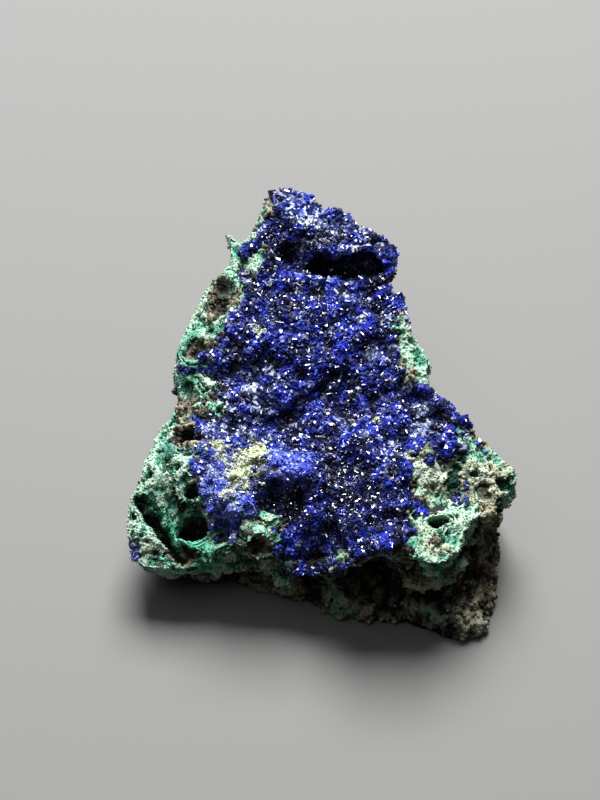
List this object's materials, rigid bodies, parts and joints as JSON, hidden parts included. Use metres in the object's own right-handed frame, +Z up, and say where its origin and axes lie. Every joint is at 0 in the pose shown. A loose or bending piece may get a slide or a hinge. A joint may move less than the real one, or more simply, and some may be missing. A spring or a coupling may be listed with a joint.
{
  "type": "azurite specimen",
  "caption": "Hand specimen of sparkling blue azurite crystals on green malachite and brown rock, lying on its flat broken back.",
  "frame": {"origin": "centre of the bounding box on the resting surface", "axes": "+Z up out of the crystal face, +Y along the specimen towards its narrow knobbed end, +X to the right as the crystal face is seen from above with the knob away from the viewer"},
  "size_m": [0.0388, 0.0436, 0.0177],
  "materials": {
    "azurite": "glassy microcrystals",
    "malachite": "dull, earthy",
    "matrix": "rough, broken"
  },
  "bodies": {
    "root": {"matrix_rock": "matrix", "azurite_druse": "azurite", "malachite_crust_left": "malachite", "malachite_band_right": "malachite", "malachite_crust_right": "malachite"}
  },
  "joints": []
}
